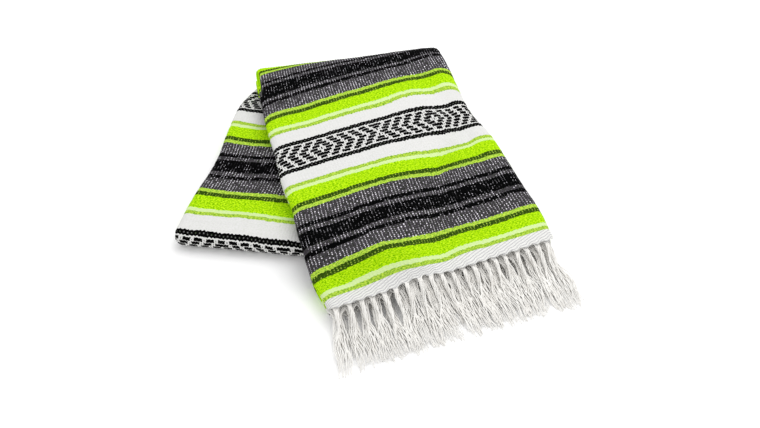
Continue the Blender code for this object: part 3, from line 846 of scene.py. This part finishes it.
front_stops = np.linspace(-LAYERS_OUT, FRONT.length, int(FRONT.length / LAYER_ROW_STEP))
front_rows = [(along, 0.0) for along in front_stops]
front_rows += [(FRONT.length, turn) for turn in np.linspace(0, 180, TURN_ROWS)[1:]]
front_slips = [float(slipped(along + math.radians(turn) * QUARTER)) for along, turn in front_rows]
front_layers = layer_shell(
    "front_arm_plies", FRONT, front_point, front_rows, FRONT_LINES, FRONT_SHARES, 21, front_slips
)
lower_hems = hem_face("lower_hems", HEM_LOW, HALF, HEM_PLIES, LOWER_HEMS_OUT, 23)
upper_hems = hem_face("upper_hems", HALF, STACK - COVER_THICK, HEM_PLIES - 1, UPPER_HEMS_OUT, 24)
for item in bpy.context.scene.objects:
    item.select_set(item in (front_layers, lower_hems, upper_hems))
bpy.context.view_layer.objects.active = front_layers
bpy.ops.object.join()
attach(front_layers, "root")
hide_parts("front_arm_layers")
back_stops = np.linspace(0.0, BACK.length, int(BACK.length / LAYER_ROW_STEP))
back_rows = [(along, 0.0) for along in back_stops]
back_layers = layer_shell(
    "back_arm_plies", BACK, back_point, back_rows, BACK_LINES, BACK_SHARES, 22, [0.0] * len(back_rows)
)
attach(back_layers, "root")
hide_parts("back_arm_layers")

# Fringe
# The warp ends left long at the hem: white cotton and acrylic yarns, two-ply, twisted together in
# bundles by hand, which open into loose wavy ends. Each layer of the fold has its own row of them.

# One row for each tier. root_up is its roots' height in the folded stack, and lie_z the height that it
# lies at further out. Its yarns are as long as reach, give or take the spread. gathered says how much
# of a bundle is drawn together below its root
Tier = namedtuple("Tier", "name node bundles yarns root_up lie_z reach spread gathered")
TIERS = [
    Tier("fringe_of_outer_layer", "fringe_top", BUNDLES, 12, 0.0258, 0.0072, 0.086, 0.0070, 1.0),
    Tier("fringe_of_middle_layers", "fringe_middle", 19, 12, 0.0165, 0.0046, 0.070, 0.0050, 0.35),
    Tier("fringe_of_lowest_layers", "fringe_low", 19, 9, 0.0060, 0.0022, 0.050, 0.0040, 0.35),
]
YARN = 0.00080
YARN_SIDES = 6
YARN_STEP = 0.0021
YARN_PLY_TURN = 0.0095
PLY_DEPTH = 0.13
BUNDLE_TURN = 0.040
BUNDLE_RADIUS = 0.0023
BUNDLE_CORE = 0.35
GATHER = 0.011
FRINGE_SLOPE = 0.042
FRINGE_ROOT = 0.0010
FAN = (-77.0, -63.0, -67.0)
RIGHT_LONGER = 0.14

# How the bundles and yarns differ from each other. A bundle or a yarn draws its own value from a range
ROOT_SHIFT = 0.10
FAN_SWING = 5.0
HOLD = (0.06, 0.30)
OPENING = 0.5
OPENED = (0.0062, 0.0105)
SWAY_LENGTH = (0.045, 0.080)
BUNDLE_SWAY = (0.0006, 0.0020)
LONG_WAVE, LONG_WAVE_LENGTH = 0.0011, (0.030, 0.060)
SHORT_WAVE, SHORT_WAVE_LENGTH = 0.00030, (0.010, 0.016)
HUMP, HUMP_LENGTH = 0.0012, 0.055
LOOSE_RUN = 0.02
ROOT_FAN = 0.40
YARN_LIE = YARN * 1.15
YARN_TAPER = 0.25
RISE_START, RISE_LOST = 0.005, 0.7
LIE_TO, LIE_RUN = 0.8, 0.25
FRINGE_WHITE, FRINGE_SHADE = "#f9f8f5", "#e6e3de"

# Scales to the metre: the white changes over 17 mm, and fibres are drawn 0.7 mm coarse so that they show
YARN_TONE_SCALE, YARN_FIBRE_SCALE = 60.0, 1400.0


def fringe_yarn(name):
    """Soft-spun two-ply yarn: matt, slightly hairy, and a little uneven in its white."""
    material = bpy.data.materials.new(name)
    material.use_nodes = True
    tree = material.node_tree
    shader = tree.nodes["Principled BSDF"]
    add = partial(add_node, tree)
    place = add("TexCoord").node.outputs["Object"]
    tone = add("TexNoise", place, YARN_TONE_SCALE, 3.0)
    colour = add("Mix", tone, linear(FRINGE_WHITE), linear(FRINGE_SHADE), data_type="RGBA")
    tree.links.new(colour, shader.inputs["Base Color"])
    fibre = add("TexNoise", place, YARN_FIBRE_SCALE, 2.0)
    bump = add("Bump", 0.4, 0.0004)
    tree.links.new(fibre, bump.node.inputs["Height"])
    tree.links.new(bump, shader.inputs["Normal"])
    shader.inputs["Roughness"].default_value = 1.0
    shader.inputs["Specular IOR Level"].default_value = 0.1
    return material


def fringe_height(tier, root_z, distance):
    """Height of a yarn's middle at a distance out from its root."""
    slope = 1.0 - smooth(distance / FRINGE_SLOPE)
    end = 1.0 - smooth((distance - LIE_TO * tier.reach) / (LIE_RUN * tier.reach))
    lie = YARN_LIE + (tier.lie_z - YARN_LIE) * end
    return lie + (root_z - lie) * slope


def yarn_tube(points, twist_start):
    """Rings of a two-ply yarn round a line of points."""
    tangent = np.gradient(points, axis=0)
    tangent /= np.linalg.norm(tangent, axis=1)[:, None]
    side = np.cross(tangent, (0.0, 0.0, 1.0))
    side /= np.linalg.norm(side, axis=1)[:, None]
    over = np.cross(side, tangent)
    length = np.concatenate([[0.0], np.cumsum(np.linalg.norm(np.diff(points, axis=0), axis=1))])
    angle = np.linspace(0, 2 * np.pi, YARN_SIDES, endpoint=False)
    ply = angle[None, :] - (length / YARN_PLY_TURN * 2 * np.pi + twist_start)[:, None]
    taper = 1.0 - YARN_TAPER * (length / length[-1])
    radius = YARN * taper[:, None] * (1.0 + PLY_DEPTH * np.cos(2 * ply))
    ring = side[:, None] * np.cos(angle)[None, :, None] + over[:, None] * np.sin(angle)[None, :, None]
    return points[:, None] + ring * radius[..., None]


def wave(distance, length, chance):
    """A wave along a yarn with a start of its own."""
    return np.sin(2 * np.pi * (distance / length + chance.random()))


def fringe_tier(tier, seed, material):
    """All the bundles of one row of fringe, as one joined mesh."""
    chance = random.Random(seed)
    left, right = FRONT.sides(0.0)
    width = float(np.linalg.norm(right - left))
    run = (right - left) / width
    out = np.array([run[1], -run[0]])
    first, last = FRINGE_SIDE, width - FRINGE_SIDE
    pitch = (last - first) / tier.bundles
    vertices, faces, offset = [], [], 0
    for b in range(tier.bundles):
        root = first + (b + 0.5) * pitch + chance.uniform(-ROOT_SHIFT, ROOT_SHIFT) * pitch
        share = (root - first) / (last - first)
        swing = chance.uniform(-FAN_SWING, FAN_SWING)
        angle = math.radians(np.interp(share, (0.0, 0.5, 1.0), FAN) + swing)
        way = np.array([math.cos(angle), math.sin(angle)])
        across_way = np.array([-way[1], way[0]])
        longer = 1.0 + RIGHT_LONGER * share * share
        hold = chance.uniform(*HOLD)
        opened = chance.uniform(*OPENED)
        start_angle = chance.uniform(0.0, 6.0)
        sway_length = chance.uniform(*SWAY_LENGTH)
        bundle_sway = chance.uniform(*BUNDLE_SWAY)
        bundle_phase = chance.random()
        ground = float(front_height(*(left + run * root), tier.root_up))
        base = left + run * root + out * FRINGE_ROOT
        for y in range(tier.yarns):
            length = (tier.reach + chance.uniform(-1.0, 1.0) * tier.spread) * longer
            count = int(length / YARN_STEP)
            d = np.linspace(0.0, length, count)
            s = d / length
            open_share = 1.0 - (1.0 - smooth((s - hold) / OPENING)) * tier.gathered
            gathered = smooth(d / GATHER)
            ring = BUNDLE_RADIUS if y % 3 else BUNDLE_RADIUS * BUNDLE_CORE
            turn = d / BUNDLE_TURN * 2 * np.pi + y * 2 * np.pi / tier.yarns + start_angle
            fan = ((y + 0.5) / tier.yarns - 0.5) * 2.0
            loose = smooth(d / LOOSE_RUN)
            own_wave = wave(d, chance.uniform(*LONG_WAVE_LENGTH), chance) * LONG_WAVE * open_share
            own_wave += wave(d, chance.uniform(*SHORT_WAVE_LENGTH), chance) * SHORT_WAVE * loose
            sway = np.sin(2 * np.pi * (d / sway_length + bundle_phase)) * bundle_sway * loose
            sideways = ring * np.cos(turn) * (1 - open_share) * gathered
            fanned = fan * pitch * ROOT_FAN * (1 - gathered) + fan * opened * open_share
            sideways += fanned + own_wave + sway
            rise = ring * np.sin(turn) * (1 - RISE_LOST * open_share) * smooth((d - RISE_START) / GATHER)
            height = fringe_height(tier, ground, d) + rise
            height += np.abs(wave(d, HUMP_LENGTH, chance)) * HUMP * loose
            height = np.maximum(height, YARN_LIE)
            place = base + way * d[:, None] + across_way * sideways[:, None]
            points = np.concatenate([place - MIDDLE, height[:, None]], 1)
            rings = yarn_tube(points, chance.uniform(0, 6))
            vertices.append(rings.reshape(-1, 3))
            index = offset + np.arange(count * YARN_SIDES).reshape(count, YARN_SIDES)
            offset += count * YARN_SIDES
            ahead = np.roll(index, -1, axis=1)
            quads = np.stack([index[:-1], ahead[:-1], ahead[1:], index[1:]], -1).reshape(-1, 4)
            faces += quads.tolist()
            faces.append(index[0][::-1].tolist())
            faces.append(index[-1].tolist())
    mesh = bpy.data.meshes.new(tier.name)
    mesh.from_pydata(np.concatenate(vertices).tolist(), [], faces)
    mesh.shade_smooth()
    mesh.materials.append(material)
    piece = bpy.data.objects.new(tier.name, mesh)
    bpy.context.scene.collection.objects.link(piece)
    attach(piece, "root")
    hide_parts(tier.node)
    return piece


fringe_material = fringe_yarn("soft_spun_white_fringe_yarn")
fringes = [fringe_tier(tier, 31 + number, fringe_material) for number, tier in enumerate(TIERS)]

# Camera, floor and light
# A camera 50 degrees above a pale floor, as the photograph was taken, with one large soft light from
# the upper right and a white surround.
CAMERA_RISE = math.radians(50)
CAMERA_DISTANCE = 1.15
FOCAL_SHARE = 800 / 760
SENSOR = 36.0
FLOOR_HALF = 4.0
FLOOR_LOW = 0.0004
SURROUND = 0.92
KEY_X, KEY_Y, KEY_Z = 0.55, 0.65, 1.8
KEY_SIZE = 1.5
KEY_ENERGY = 17.0

camera_data = bpy.data.cameras.new("camera")
camera_data.sensor_width = SENSOR
camera_data.lens = SENSOR * FOCAL_SHARE
camera = bpy.data.objects.new("camera", camera_data)
camera.location = (
    -MIDDLE[0],
    -CAMERA_DISTANCE * math.cos(CAMERA_RISE) - MIDDLE[1],
    CAMERA_DISTANCE * math.sin(CAMERA_RISE),
)
camera.rotation_euler = (math.pi / 2 - CAMERA_RISE, 0.0, 0.0)
bpy.context.scene.collection.objects.link(camera)
bpy.context.scene.camera = camera

floor_mesh = bpy.data.meshes.new("floor")
corners = ((-1, -1), (1, -1), (1, 1), (-1, 1))
floor_places = [(x * FLOOR_HALF, y * FLOOR_HALF, -FLOOR_LOW) for x, y in corners]
floor_mesh.from_pydata(floor_places, [], [(0, 1, 2, 3)])
floor = bpy.data.objects.new("floor", floor_mesh)
bpy.context.scene.collection.objects.link(floor)
floor_material = bpy.data.materials.new("matt_white_floor")
floor_material.use_nodes = True
floor_shader = floor_material.node_tree.nodes["Principled BSDF"]
floor_shader.inputs["Base Color"].default_value = linear("#ffffff")
floor_shader.inputs["Roughness"].default_value = 0.9
floor_mesh.materials.append(floor_material)

world = bpy.data.worlds.new("surround")
world.use_nodes = True
world.node_tree.nodes["Background"].inputs[0].default_value = (1.0, 1.0, 1.0, 1.0)
world.node_tree.nodes["Background"].inputs[1].default_value = SURROUND
bpy.context.scene.world = world
key_data = bpy.data.lights.new("key", "AREA")
key_data.shape = "SQUARE"
key_data.size = KEY_SIZE
key_data.energy = KEY_ENERGY
key = bpy.data.objects.new("key", key_data)
key.location = (KEY_X, KEY_Y, KEY_Z)
key.rotation_euler = (-math.atan2(KEY_Y, KEY_Z), math.atan2(KEY_X, math.hypot(KEY_Y, KEY_Z)), 0.0)
bpy.context.scene.collection.objects.link(key)
bpy.context.scene.view_settings.view_transform = "Standard"
